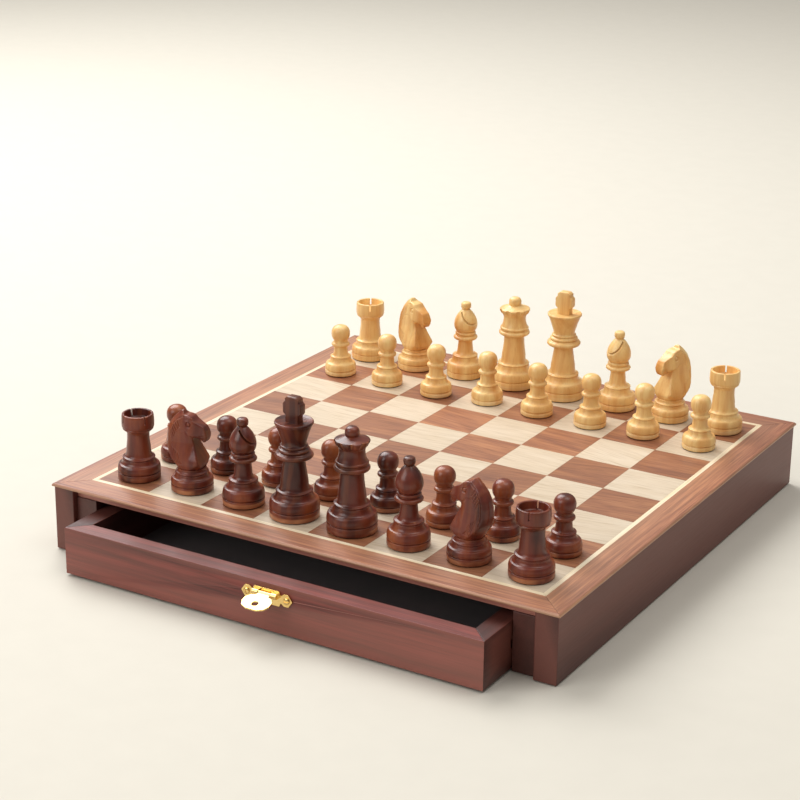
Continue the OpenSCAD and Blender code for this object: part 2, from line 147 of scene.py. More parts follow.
def darken(tree, pattern, low, high, most, colour, tint):
    """Multiplies the colour by a tint where the pattern is high, as open pores do."""
    links = {"Value": pattern, "From Min": low, "From Max": high, "To Max": most}
    share = add_node(tree, "MapRange", {}, links)
    links = {0: share.outputs["Result"], 6: colour, 7: (*linear(tint), 1)}
    return add_node(tree, "Mix", {"data_type": "RGBA", "blend_type": "MULTIPLY"}, links).outputs[2]


def sharp_edges(tree, low, high, most):
    """How far a point stands on a sharp edge."""
    edge = add_node(tree, "NewGeometry").outputs["Pointiness"]
    links = {"Value": edge, "From Min": low, "From Max": high, "To Max": most}
    return add_node(tree, "MapRange", {}, links).outputs["Result"]


def turned_wood(name, pale, deep, streak, figure, wear_and_highlight, gloss):
    """Close-grained wood turned on a lathe and polished: growth rings show as nested flames
    round each swelling, fine pores run up the man, and the lacquer gives long clean highlights."""
    made, tree, shader = new_material(name)
    place = add_node(tree, "TexCoord").outputs["Object"]
    upright = add_node(
        tree, "Mapping", {}, {"Vector": place, "Rotation": (0.06, 0.05, 0.5), "Scale": (1, 1, 0.16)}
    ).outputs["Vector"]
    rings = add_node(
        tree,
        "TexWave",
        {"wave_type": "BANDS", "bands_direction": "X", "wave_profile": "SIN"},
        {
            "Vector": upright,
            "Scale": 0.314 / (figure[0] * MM),  # bands figure[0] mm apart
            "Distortion": 5.0,
            "Detail": 3.0,
            "Detail Scale": 0.9,
            "Detail Roughness": 0.55,
        },
    )
    # Heartwood and sapwood lie side by side in patches about 15 mm across
    patches = add_node(tree, "TexNoise", {}, {"Vector": upright, "Scale": 1 / (15 * MM), "Detail": 3.0})
    ground = add_node(
        tree, "ValToRGB", {"stops": [(0.36, linear(deep)), (0.52, linear(pale)), (0.7, linear(streak))]},
        {"Fac": patches.outputs["Fac"]},
    )
    ring_share = add_node(
        tree, "MapRange", {"interpolation_type": "SMOOTHSTEP"},
        {"Value": rings.outputs["Fac"], "From Min": 0.35, "From Max": 1.0, "To Max": figure[1]},
    )
    figured = add_node(
        tree, "Mix", {"data_type": "RGBA"},
        {0: ring_share.outputs["Result"], 6: ground.outputs["Color"], 7: (*linear(streak), 1)},
    )
    # Pores about 0.35 mm across and 6 mm long
    pores = grain(tree, place, (1, 1, 0.06), 0.7, {"Detail": 2.0})
    colour = darken(tree, pores, 0.52, 0.75, 0.25, figured.outputs[2], streak)
    # The stain is rubbed off the lowest band as wear, and the sharpest ridges are painted paler, partly as
    # wear and partly as a painted highlight where they catch the light
    height = add_node(tree, "SeparateXYZ", {}, {"Vector": place}).outputs["Z"]
    rubbed = add_node(tree, "TexNoise", {}, {"Vector": place, "Scale": 1 / (14 * MM), "Detail": 2.0})
    foot = add_node(
        tree, "MapRange", {"interpolation_type": "SMOOTHSTEP"},
        {"Value": height, "From Min": PLAY_Z + 3.3 * MM, "From Max": PLAY_Z + 2.5 * MM},
    )
    patchy = add_node(
        tree, "MapRange", {}, {"Value": rubbed.outputs["Fac"], "From Min": 0.42, "From Max": 0.62},
    )
    foot_share = add_node(
        tree, "Math", {"operation": "MULTIPLY"}, {0: foot.outputs["Result"], 1: patchy.outputs["Result"]},
    )
    # painted highlight with wear: the pale colour laid along the sharp ridges
    ridge = sharp_edges(tree, 0.52, 0.62, 0.6)
    wear_and_highlight_share = add_node(tree, "Math", {"operation": "MAXIMUM"}, {0: foot_share.outputs["Value"], 1: ridge})
    scaled = add_node(tree, "Math", {"operation": "MULTIPLY"}, {0: wear_and_highlight_share.outputs["Value"], 1: wear_and_highlight[1]})
    colour = add_node(
        tree, "Mix", {"data_type": "RGBA"}, {0: scaled.outputs["Value"], 6: colour, 7: (*linear(wear_and_highlight[0]), 1)},
    ).outputs[2]
    patched = (patches.outputs["Fac"], gloss[0] - 0.06, gloss[0] + 0.1)
    surface(tree, shader, colour, patched, (pores, 0.12, 0.05))
    lacquer(shader, 1.42, gloss)
    return made


def veneer(name, pale, deep, streak, spread, gloss):
    """Sliced veneer laid square by square and lacquered: each square has its own tone and its
    own run of straight, slightly wandering grain, with fine dark pores."""
    made, tree, shader = new_material(name)
    place = add_node(tree, "TexCoord").outputs["Object"]
    cell = add_node(
        tree,
        "VectorMath",
        {"operation": "FLOOR"},
        {
            0: add_node(
                tree, "VectorMath", {"operation": "SCALE"}, {0: place, "Scale": 1 / SQUARE}
            ).outputs["Vector"]
        },
    )
    flat_cell = add_node(
        tree, "VectorMath", {"operation": "MULTIPLY"}, {0: cell.outputs["Vector"], 1: (1, 1, 0)},
    )
    chance = add_node(
        tree, "TexWhiteNoise", {"noise_dimensions": "3D"}, {"Vector": flat_cell.outputs["Vector"]}
    )
    lean = add_node(tree, "MapRange", {}, {"Value": chance.outputs["Value"], "To Min": -0.22, "To Max": 0.22})
    turned = add_node(
        tree, "VectorRotate", {"rotation_type": "Z_AXIS"}, {"Vector": place, "Angle": lean.outputs["Result"]},
    )
    moved = add_node(
        tree, "VectorMath", {"operation": "ADD"}, {0: turned.outputs["Vector"], 1: chance.outputs["Color"]},
    )
    along = add_node(
        tree, "Mapping", {}, {"Vector": moved.outputs["Vector"], "Scale": (0.14, 1, 1)}
    ).outputs["Vector"]
    # Growth bands about 5 mm wide across the grain
    bands = add_node(
        tree, "TexNoise", {},
        {"Vector": along, "Scale": 1 / (7 * MM), "Detail": 5.0, "Roughness": 0.6, "Distortion": 0.5},
    )
    # Pores 0.3 mm wide, drawn a little coarser than real so that they show
    pores = grain(tree, moved.outputs["Vector"], (0.05, 1, 1), 0.8, {"Detail": 2.0})
    figured = add_node(
        tree, "ValToRGB", {"stops": [(0.3, linear(deep)), (0.52, linear(pale)), (0.72, linear(streak))]},
        {"Fac": bands.outputs["Fac"]},
    )
    pored = darken(tree, pores, 0.5, 0.8, 0.6, figured.outputs["Color"], deep)
    own_tone = add_node(
        tree, "MapRange", {}, {"Value": chance.outputs["Value"], "To Min": 1 - spread, "To Max": 1 + spread},
    )
    colour = add_node(tree, "HueSaturation", {}, {"Color": pored, "Value": own_tone.outputs["Result"]})
    surface(tree, shader, colour.outputs["Color"], (pores, gloss[0], gloss[0] + 0.14), (pores, 0.15, 0.04))
    lacquer(shader, 1.5, gloss)
    return made


def plank(name, pale, deep, streak, run, bands_mm, gloss, edge=None):
    """Solid or thick sawn wood with straight grain under lacquer. The grain runs along "x" or "y",
    or "round" a mitred frame, rail by rail."""
    made, tree, shader = new_material(name)
    place = add_node(tree, "TexCoord").outputs["Object"]
    place_on = place
    if run != "x":
        parts = add_node(tree, "SeparateXYZ", {}, {"Vector": place})
        links = {"X": parts.outputs["Y"], "Y": parts.outputs["X"], "Z": parts.outputs["Z"]}
        place_on = add_node(tree, "CombineXYZ", {}, links).outputs["Vector"]
    if run == "round":
        sizes = [
            add_node(tree, "Math", {"operation": "ABSOLUTE"}, {0: parts.outputs[axis]}).outputs["Value"]
            for axis in "XY"
        ]
        on_end_rail = add_node(tree, "Math", {"operation": "GREATER_THAN"}, {0: sizes[1], 1: sizes[0]})
        links = {0: on_end_rail.outputs["Value"], 4: place_on, 5: place}
        place_on = add_node(tree, "Mix", {"data_type": "VECTOR"}, links).outputs[1]
    bands = grain(
        tree, place_on, (0.035, 1, 1), bands_mm, {"Detail": 4.0, "Roughness": 0.6, "Distortion": 0.25}
    )
    # Pores drawn about twice as coarse as real, to show
    pores = grain(tree, place_on, (0.03, 1, 1), 0.9, {"Detail": 3.0, "Roughness": 0.65})
    cloud = add_node(tree, "TexNoise", {}, {"Vector": place, "Scale": 1 / (70 * MM), "Detail": 2.0})
    figured = add_node(
        tree, "ValToRGB", {"stops": [(0.3, linear(deep)), (0.5, linear(pale)), (0.68, linear(streak))]},
        {"Fac": bands},
    )
    pored = darken(tree, pores, 0.48, 0.74, 0.65, figured.outputs["Color"], deep)
    links = {"Value": cloud.outputs["Fac"], "From Min": 0.3, "From Max": 0.7, "To Min": 0.9, "To Max": 1.1}
    lift = add_node(tree, "MapRange", {}, links).outputs["Result"]
    clouded = add_node(tree, "HueSaturation", {}, {"Color": pored, "Value": lift}).outputs["Color"]
    if edge:
        # Painted highlight: the sharp edges are painted paler, as where they catch the light
        ridge = sharp_edges(tree, 0.53, 0.62, edge[1])
        clouded = add_node(
            tree, "Mix", {"data_type": "RGBA"}, {0: ridge, 6: clouded, 7: (*linear(edge[0]), 1)},
        ).outputs[2]
    surface(tree, shader, clouded, (pores, gloss[0], gloss[0] + 0.16), (pores, 0.2, 0.05))
    lacquer(shader, 1.5, gloss)
    return made


def polished_brass(name, colour, dull):
    """Stamped sheet brass, tumbled bright: soft broad reflections, faint handling marks."""
    made, tree, shader = new_material(name)
    place = add_node(tree, "TexCoord").outputs["Object"]
    marks = add_node(tree, "TexNoise", {}, {"Vector": place, "Scale": 1 / (1.6 * MM), "Detail": 4.0})
    tarnish = add_node(tree, "TexNoise", {}, {"Vector": place, "Scale": 1 / (6 * MM), "Detail": 3.0})
    shade = add_node(
        tree,
        "Mix",
        {"data_type": "RGBA"},
        {
            0: add_node(
                tree, "MapRange", {},
                {"Value": tarnish.outputs["Fac"], "From Min": 0.4, "From Max": 0.75, "To Max": 0.5},
            ).outputs["Result"],
            6: (*linear(colour), 1),
            7: (*linear(dull), 1),
        },
    )
    marked = marks.outputs["Fac"]
    surface(tree, shader, shade.outputs[2], (marked, 0.2, 0.3), (marked, 0.05, 0.02))
    shader.inputs["Metallic"].default_value = 1.0
    return made


def short_felt(name, colour, tip):
    """Pressed wool felt glued down: matt, slightly fuzzy, with a soft mottled nap."""
    made, tree, shader = new_material(name)
    place = add_node(tree, "TexCoord").outputs["Object"]
    fibres = add_node(
        tree, "TexNoise", {}, {"Vector": place, "Scale": 1 / (0.6 * MM), "Detail": 4.0, "Roughness": 0.7}
    )
    nap = add_node(tree, "TexNoise", {}, {"Vector": place, "Scale": 1 / (18 * MM), "Detail": 2.0})
    both = add_node(
        tree, "Math", {"operation": "MULTIPLY"}, {0: fibres.outputs["Fac"], 1: nap.outputs["Fac"]},
    )
    shade = add_node(
        tree, "ValToRGB", {"stops": [(0.12, linear(colour)), (0.42, linear(tip))]},
        {"Fac": both.outputs["Value"]},
    )
    bump = add_node(
        tree, "Bump", {}, {"Strength": 0.5, "Distance": 0.15 * MM, "Height": fibres.outputs["Fac"]}
    )
    tree.links.new(shade.outputs["Color"], shader.inputs["Base Color"])
    tree.links.new(bump.outputs["Normal"], shader.inputs["Normal"])
    shader.inputs["Roughness"].default_value = 0.95
    shader.inputs["Sheen Weight"].default_value = 0.25
    shader.inputs["Sheen Roughness"].default_value = 0.5
    return made


def rolled_steel(name, colour):
    """Cold-rolled sheet steel, seen only as a hair line between the veneers."""
    made, tree, shader = new_material(name)
    place = add_node(tree, "TexCoord").outputs["Object"]
    mill = add_node(tree, "TexNoise", {}, {"Vector": place, "Scale": 1 / (3 * MM), "Detail": 3.0})
    rough = add_node(tree, "MapRange", {}, {"Value": mill.outputs["Fac"], "To Min": 0.35, "To Max": 0.6})
    tree.links.new(rough.outputs["Result"], shader.inputs["Roughness"])
    shader.inputs["Base Color"].default_value = (*linear(colour), 1)
    shader.inputs["Metallic"].default_value = 1.0
    return made


MATERIALS = {}


def make_materials():
    """Every finish of the set, made once and shared by its pieces."""
    MATERIALS.update(
        boxwood=turned_wood(
            "boxwood_turned_polished", "#F0CC88", "#E5B26B", "#D6974E",
            (3.4, 0.26), ("#F4DFB4", 0.3), (0.38, 0.25, 0.22),
        ),
        rosewood=turned_wood(
            "rosewood_stained_polished", "#6E2D1E", "#421810", "#9C542A",
            (4.6, 0.18), ("#B87850", 0.85), (0.32, 0.22, 0.14),
        ),
        walnut_squares=veneer(
            "walnut_veneer_lacquered", "#9A6444", "#80503A", "#B17A54", 0.16, (0.4, 0.25, 0.26)
        ),
        maple_squares=veneer(
            "maple_veneer_lacquered", "#CDBCA4", "#C6B49A", "#D3C4AE", 0.03, (0.42, 0.25, 0.26)
        ),
        stringing=plank(
            "maple_line_lacquered", "#E6D6B8", "#DCC8A2", "#EEE0C6", "round", 3, (0.4, 0.25, 0.26)
        ),
        border=plank(
            "walnut_rail_lacquered", "#985E44", "#74422D", "#B57A57", "round", 1.7, (0.38, 0.3, 0.24),
            ("#D8AE88", 0.9),
        ),
        # Painted shade: the side faces have the front's stain but are painted darker, as if turned from the
        # light; their paler edges are a painted highlight
        case_y=plank(
            "mahogany_stained_side_painted_shade", "#361410", "#240C09", "#451D17", "y", 5, (0.44, 0.16, 0.24),
            ("#7A4438", 0.7),
        ),
        case_x=plank(
            "mahogany_stained_front", "#6A231D", "#481410", "#7E3028", "x", 4, (0.4, 0.2, 0.22),
            ("#B87868", 0.9),
        ),
        brass=polished_brass("brass_stamped_bright", "#EBCB86", "#D9B268"),
        felt=short_felt("felt_pressed_dark", "#241616", "#3B2826"),
        pad=short_felt("felt_pressed_brown", "#3A241C", "#5C4032"),
        steel=rolled_steel("steel_cold_rolled", "#8D8F92"),
    )


# ---------- Modelling ----------


def active(obj):
    """Leaves only this piece selected, and active."""
    bpy.ops.object.select_all(action="DESELECT")
    obj.select_set(True)
    bpy.context.view_layer.objects.active = obj
    return obj


def smooth(obj, degrees=38):
    """Smooth shading except over sharp corners."""
    active(obj)
    bpy.ops.object.shade_smooth_by_angle(angle=math.radians(degrees))
    return obj


def use_modifier(obj, kind, **settings):
    """Adds a modifier and applies it."""
    active(obj)
    made = obj.modifiers.new(kind.lower(), kind)
    for name, value in settings.items():
        setattr(made, name, value)
    bpy.ops.object.modifier_apply(modifier=made.name)
    return obj


def turn(obj, z_degrees, place):
    """Turns the mesh about Z and moves it, leaving the object at the origin."""
    obj.data.transform(Matrix.Translation(place) @ Matrix.Rotation(math.radians(z_degrees), 4, "Z"))
    obj.data.update()
    return obj


def another(obj, name):
    """A copy with a mesh of its own."""
    made = bpy.data.objects.new(name, obj.data.copy())
    made.data.name = name
    bpy.context.scene.collection.objects.link(made)
    return made


def discard(obj):
    """Removes a cutter or a pattern that isn't a piece."""
    data = obj.data
    bpy.data.objects.remove(obj)
    bpy.data.meshes.remove(data)


def block(name, low, high):
    """A box between two corners."""
    bpy.ops.object.select_all(action="DESELECT")
    low, high = Vector(low), Vector(high)
    bpy.ops.mesh.primitive_cube_add(size=1, location=(low + high) / 2, scale=high - low)
    made = bpy.context.object
    made.name = name
    bpy.ops.object.transform_apply(location=True, rotation=True, scale=True)
    return made


def prism(name, outline, low, high, flip):
    """Fills a closed outline and extrudes it. flip maps (u, v, depth) to X, Y and Z."""
    bpy.ops.object.select_all(action="DESELECT")
    bpy.ops.mesh.primitive_circle_add(vertices=len(outline), radius=MM, fill_type="NGON")
    made = bpy.context.object
    made.name = name
    for vert, (u, v) in zip(made.data.vertices, outline):
        vert.co = flip(u * MM, v * MM, low * MM)
    bpy.ops.object.mode_set(mode="EDIT")
    bpy.ops.mesh.select_all(action="SELECT")
    step = flip(0, 0, high * MM) - flip(0, 0, low * MM)
    bpy.ops.mesh.extrude_region_move(TRANSFORM_OT_translate={"value": step})
    bpy.ops.mesh.select_all(action="SELECT")
    bpy.ops.mesh.normals_make_consistent(inside=False)
    bpy.ops.object.mode_set(mode="OBJECT")
    return made


def cut(obj, *tools, operation="DIFFERENCE"):
    """Cuts, joins or intersects the piece with each tool, and removes the tools."""
    for tool in tools:
        use_modifier(obj, "BOOLEAN", operation=operation, object=tool, solver="EXACT")
        discard(tool)
    return obj


def lathe(name, profile, steps=72):
    """Extrudes one point along a profile of (radius, height) in mm and spins the line about Z."""
    bpy.ops.object.select_all(action="DESELECT")
    bpy.ops.mesh.primitive_plane_add(size=MM)
    made = bpy.context.object
    made.name = name
    made.data.vertices[0].co = (profile[0][0] * MM, 0, profile[0][1] * MM)
    bpy.ops.object.mode_set(mode="EDIT")
    shape = bmesh.from_edit_mesh(made.data)
    shape.verts.ensure_lookup_table()
    for vert in shape.verts:
        vert.select_set(vert.index != 0)
    bmesh.update_edit_mesh(made.data)
    bpy.ops.mesh.delete(type="VERT")
    bpy.ops.mesh.select_all(action="SELECT")
    for (r0, z0), (r1, z1) in zip(profile, profile[1:]):
        bpy.ops.mesh.extrude_region_move(
            TRANSFORM_OT_translate={"value": ((r1 - r0) * MM, 0, (z1 - z0) * MM)}
        )
    bpy.ops.mesh.select_all(action="SELECT")
    bpy.ops.mesh.spin(steps=steps, angle=2 * math.pi, center=(0, 0, 0), axis=(0, 0, 1))
    bpy.ops.mesh.select_all(action="SELECT")
    bpy.ops.mesh.remove_doubles(threshold=0.004 * MM)
    bpy.ops.mesh.normals_make_consistent(inside=False)
    bpy.ops.object.mode_set(mode="OBJECT")
    return made


def softened(node, width_mm, segments=3):
    """A copy of a CAD solid with merged points and slightly rounded corners, which stands for it."""
    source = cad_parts[node]
    made = bpy.data.objects.new(node + "_finished", source.data.copy())
    bpy.context.scene.collection.objects.link(made)
    active(made)
    bpy.ops.object.mode_set(mode="EDIT")
    bpy.ops.mesh.select_all(action="SELECT")
    if made.data.has_custom_normals:
        bpy.ops.mesh.customdata_custom_splitnormals_clear()
    bpy.ops.mesh.remove_doubles(threshold=0.002 * MM)
    bpy.ops.mesh.dissolve_limited(angle_limit=math.radians(0.5))
    bpy.ops.object.mode_set(mode="OBJECT")
    use_modifier(
        made, "BEVEL", width=width_mm * MM, segments=segments, limit_method="ANGLE",
        angle_limit=math.radians(28), harden_normals=False,
    )
    smooth(made, 50)
    use_modifier(made, "WEIGHTED_NORMAL", keep_sharp=True)
    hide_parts(node)
    return made


# ---------- Profiles of the men, in mm above the square ----------


def arc(start, end, bulge, steps=7):
    """Points from start to end on a quarter ellipse. bulge 1 swells outwards, -1 hollows inwards."""
    (r0, z0), (r1, z1) = start, end
    out = []
    for k in range(steps + 1):
        a = math.pi / 2 * k / steps
        if bulge > 0:
            out.append((r1 + (r0 - r1) * math.cos(a), z0 + (z1 - z0) * math.sin(a)))
        else:
            out.append((r0 + (r1 - r0) * math.sin(a), z0 + (z1 - z0) * (1 - math.cos(a))))
    return out


def bead(r, z0, z1, depth, steps=8):
    """A half-round bead that stands out to r between two heights."""
    out = []
    for k in range(steps + 1):
        a = -math.pi / 2 + math.pi * k / steps
        out.append((r - depth + depth * math.cos(a), (z0 + z1) / 2 + (z1 - z0) / 2 * math.sin(a)))
    return out


def globe(r, z, low, high, squash=1.0, steps=14, full=1.0):
    """Part of a ball about (0, z), between two angles above the level. full under 1 flattens its sides."""
    out = []
    for k in range(steps + 1):
        a = math.radians(low + (high - low) * k / steps)
        across, up = math.cos(a), math.sin(a)
        out.append((r * max(across, 0) ** full, z + r * squash * math.copysign(abs(up) ** full, up)))
    return out


def eased(profile, radius=0.22):
    """The profile with each sharp corner taken off, as sandpaper leaves it."""
    out = [profile[0]]
    for before, here, after in zip(profile, profile[1:], profile[2:]):
        a = Vector(here) - Vector(before)
        b = Vector(after) - Vector(here)
        if a.length < 1e-6 or b.length < 1e-6:
            continue
        if a.angle(b) < math.radians(24):
            out.append(here)
            continue
        back = min(radius, 0.4 * a.length)
        on = min(radius, 0.4 * b.length)
        p0, p2 = Vector(here) - a.normalized() * back, Vector(here) + b.normalized() * on
        middle = (p0 + p2) / 4 + Vector(here) / 2
        out += [tuple(p0), tuple(middle), tuple(p2)]
    out.append(profile[-1])
    return out


def foot(r, band, ring_r, ring_z):
    """The foot that every man has: a plain band, a scribed groove, an ogee swelling and a ring."""
    shelf = (r - 0.36 * (r - ring_r), band + 0.52 * (ring_z - band))
    return [
        (0, PAD_T), (r - 0.4, PAD_T), (r - 0.06, PAD_T + 0.3), (r, PAD_T + 0.8), (r, band - 0.4),
        (r - 0.6, band - 0.05), (r - 0.5, band + 0.1), (r - 0.02, band + 0.45),
        *arc((r, band + 1.0), shelf, 1, 9)[:-1], *arc(shelf, (ring_r + 0.1, ring_z - 1.3), -1, 9)[1:],
        (ring_r - 0.1, ring_z - 1.15), *bead(ring_r + 0.2, ring_z - 1.0, ring_z, 0.45, 6),
    ]


def rest_place(node):
    """Where a man's foot is centred on the board, from the lowest circle of its CAD solid."""
    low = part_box(node)[0].z
    ring = [v.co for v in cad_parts[node].data.vertices if v.co.z < low + 1e-5]
    xs, ys = [p.x for p in ring], [p.y for p in ring]
    return Vector(((min(xs) + max(xs)) / 2, (min(ys) + max(ys)) / 2, low))


class MenOperator:
    """What every kind of man shares: its wood is modelled once, and each man gets its own copy."""

    bl_options = {"REGISTER", "UNDO"}

    def model(self):
        raise NotImplementedError

    def execute(self, context):
        wood = smooth(self.model())
        foot_r = self.foot_r
        pad = lathe(
            "pad", [(0, 0.02), (foot_r - 0.9, 0.02), (foot_r - 0.7, 0.15), (foot_r - 0.7, PAD_T), (0, PAD_T)],
            48,
        )
        smooth(pad)
        names = [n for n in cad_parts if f"_{self.kind}" in n]
        if not names:
            raise RuntimeError(f"the frame has no {self.kind}")
        for name in sorted(names):
            dark = name.startswith("dark")
            place = rest_place(name)
            man = turn(another(wood, name + "_wood"), TURNS.get(name, 0), place)
            give(man, MATERIALS["rosewood" if dark else "boxwood"])
            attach(man, name)
            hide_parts(name)
            felt = turn(another(pad, name + "_felt"), 0, place)
            give(felt, MATERIALS["pad"])
            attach(felt, name)
        discard(wood)
        discard(pad)
        return {"FINISHED"}


class CHESS_OT_pawns(MenOperator, bpy.types.Operator):
    """Turns the sixteen pawns"""

    bl_idname = "chess_set.pawns"
    bl_label = "Pawns"
    kind, foot_r = "pawn", 9.05

    def model(self):
        top = context_sizes().pawn_height
        ball = 5.45
        profile = [
            *foot(self.foot_r, 3, 5.9, 11.4), *arc((5.0, 11.6), (4.0, 15.4), -1), (3.95, 16.6), (4.2, 17.0),
            *bead(5.3, 17.2, 19.4, 1.0), (4.0, 19.6),
            *globe(ball, top - ball * 0.94, -42, 90, 0.94, 18, 0.87),
        ]
        return lathe("pawn", eased(profile), 72)


class CHESS_OT_rooks(MenOperator, bpy.types.Operator):
    """Turns the four rooks and cuts their battlements"""

    bl_idname = "chess_set.rooks"
    bl_label = "Rooks"
    kind, foot_r = "rook", 11

    def model(self):
        top = context_sizes().rook_height
        head, cup_r, cup_d = top - 7.7, 6.7, 4.2
        profile = [
            *foot(self.foot_r, 4, 8.2, 11.8), *arc((7.3, 12), (6.2, 17), -1), (5.7, 21), (5.7, head - 2.5),
            (5.95, head - 2.2), (6.1, head - 1.7), (7.4, head - 0.7), (8.0, head), (7.75, head + 0.35),
            (8.25, head + 1.0), (8.35, head + 3.2), (8.2, top - 1.0), (8.05, top - 0.2), (7.75, top),
            (cup_r + 0.25, top), (cup_r, top - 0.3), (cup_r - 0.35, top - cup_d + 0.5),
            (cup_r - 0.9, top - cup_d), (0, top - cup_d),
        ]
        wood = lathe("rook", eased(profile, 0.18), 80)
        half_slot, reach = 0.42 * MM, 10 * MM
        floor, above = (top - 4.1) * MM, (top + 1) * MM
        return cut(
            wood, block("slots_x", (-reach, -half_slot, floor), (reach, half_slot, above)),
            block("slots_y", (-half_slot, -reach, floor), (half_slot, reach, above)),
        )


class CHESS_OT_bishops(MenOperator, bpy.types.Operator):
    """Turns the four bishops and saws the slot in each mitre"""

    bl_idname = "chess_set.bishops"
    bl_label = "Bishops"
    kind, foot_r = "bishop", 10.6

    def model(self):
        top = context_sizes().bishop_height
        mitre, steps = 31.6, 14
        profile = [
            *foot(self.foot_r, 4, 7.2, 13.5),
            *arc((6.0, 13.7), (4.5, 17.6), -1),
            (4.2, 20),
            (4.15, 22.4),
            (4.5, 22.8),
            *bead(7.0, 23.0, 25.2, 1.1),
            (5.3, 25.5),
            *bead(6.0, 25.8, 27.5, 0.7),
            (4.95, 27.9),
            *globe(6.8, mitre, -38, -4, 0.9, 6),
            *[
                (2.2 + 4.6 * (1 - (k / steps) ** 2.1), mitre + (top - 4.3 - mitre) * k / steps)
                for k in range(steps + 1)
            ],
            (1.95, top - 4.1),
            *globe(2.95, top - 2.15, -55, 90, 0.74, 12, 0.6),
        ]
        wood = lathe("bishop", eased(profile, 0.18), 80)
        slot = block("slot", (0, -9 * MM, 0), (14 * MM, 9 * MM, 0.9 * MM))
        slot.data.transform(
            Matrix.Translation((-0.4 * MM, 0, 39.4 * MM)) @ Matrix.Rotation(math.radians(46), 4, "Y")
        )
        return cut(wood, slot)


class CHESS_OT_queens(MenOperator, bpy.types.Operator):
    """Turns the two queens and gouges the scallops of each coronet"""

    bl_idname = "chess_set.queens"
    bl_label = "Queens"
    kind, foot_r = "queen", 12.5

    def model(self):
        top = context_sizes().queen_height
        rim_r, rim_z = 8.7, top - 7.3
        profile = [
            *foot(self.foot_r, 5, 8.9, 14.6), *arc((7.7, 14.8), (6.9, 19), -1), (6.4, 22.5), (6.0, 26),
            (5.8, 29.5), (5.9, 30.8), (6.6, 31.3), *bead(8.9, 31.5, 33.9, 1.1), (7.9, 34.4),
            *bead(8.2, 34.6, 36.2, 0.7), (7.4, 36.6), (7.0, 37.6), (6.55, 39.2), (6.35, 41), (6.5, 42.6),
            (7.2, rim_z - 2.4), (8.1, rim_z - 1.6), (rim_r, rim_z - 0.4), (rim_r + 0.1, rim_z + 0.4),
            (rim_r - 0.35, rim_z + 0.85), (rim_r - 1.6, rim_z + 1.2), (5.0, rim_z + 1.9), (3.3, rim_z + 2.6),
            (2.75, rim_z + 2.9), *globe(3.6, top - 3.05, -40, 90, 0.85, 14, 0.75),
        ]
        wood = lathe("queen", eased(profile, 0.18), 90)
        points = 9
        gouges = []
        for k in range(points):
            bpy.ops.object.select_all(action="DESELECT")
            bpy.ops.mesh.primitive_cylinder_add(vertices=40, radius=2.6 * MM, depth=7 * MM)
            gouge = bpy.context.object
            turn_k = Matrix.Rotation(2 * math.pi * (k + 0.5) / points, 4, "Z")
            gouge.data.transform(
                turn_k
                @ Matrix.Translation(((rim_r + 1.75) * MM, 0, (rim_z - 0.6) * MM))
                @ Matrix.Rotation(math.radians(24), 4, "Y")
            )
            gouges.append(gouge)
        return cut(wood, *gouges)


class CHESS_OT_kings(MenOperator, bpy.types.Operator):
    """Turns the two kings and sets a blunt cross on each crown"""

    bl_idname = "chess_set.kings"
    bl_label = "Kings"
    kind, foot_r = "king", 12.5

    def model(self):
        top = context_sizes().king_height
        rim_r, rim_z = 9.75, top - 12.6
        profile = [
            *foot(self.foot_r, 5, 9.0, 14.6), *arc((7.9, 14.8), (6.9, 19.4), -1), (6.2, 23.5), (5.6, 27.5),
            (5.4, 30.2), (5.9, 30.9), *bead(9.55, 31.2, 33.8, 1.3), (7.7, 34.3), *bead(7.9, 34.5, 36.0, 0.7),
            (6.7, 36.4), *bead(6.9, 36.6, 37.8, 0.5), (6.1, 38.1), (6.05, 39.0), (6.6, 41), (7.9, 45),
            (rim_r - 0.6, rim_z - 1.7), *bead(rim_r, rim_z - 1.5, rim_z + 0.1, 0.55, 6),
            (rim_r - 1.3, rim_z - 0.1), (5, rim_z - 0.5), (0, rim_z - 0.7),
        ]
        wood = lathe("king", eased(profile, 0.18), 80)
        outline = [
            (-3.9, rim_z - 2), (3.9, rim_z - 2), (3.8, top - 9.6), (4.6, top - 9.0), (5.2, top - 8.2),
            (5.2, top - 4.0), (4.7, top - 3.2), (3.9, top - 2.6), (4.1, top - 1.2), (2.6, top),
            (-2.6, top), (-4.1, top - 1.2), (-3.9, top - 2.6), (-4.7, top - 3.2), (-5.2, top - 4.0),
            (-5.2, top - 8.2), (-4.6, top - 9.0), (-3.8, top - 9.6),
        ]
        cross = prism("cross", outline, -2.35, 2.35, lambda u, v, d: Vector((u, d, v)))
        use_modifier(
            cross, "BEVEL", width=0.55 * MM, segments=3, limit_method="ANGLE", angle_limit=math.radians(24)
        )
        return cut(wood, cross, operation="UNION")


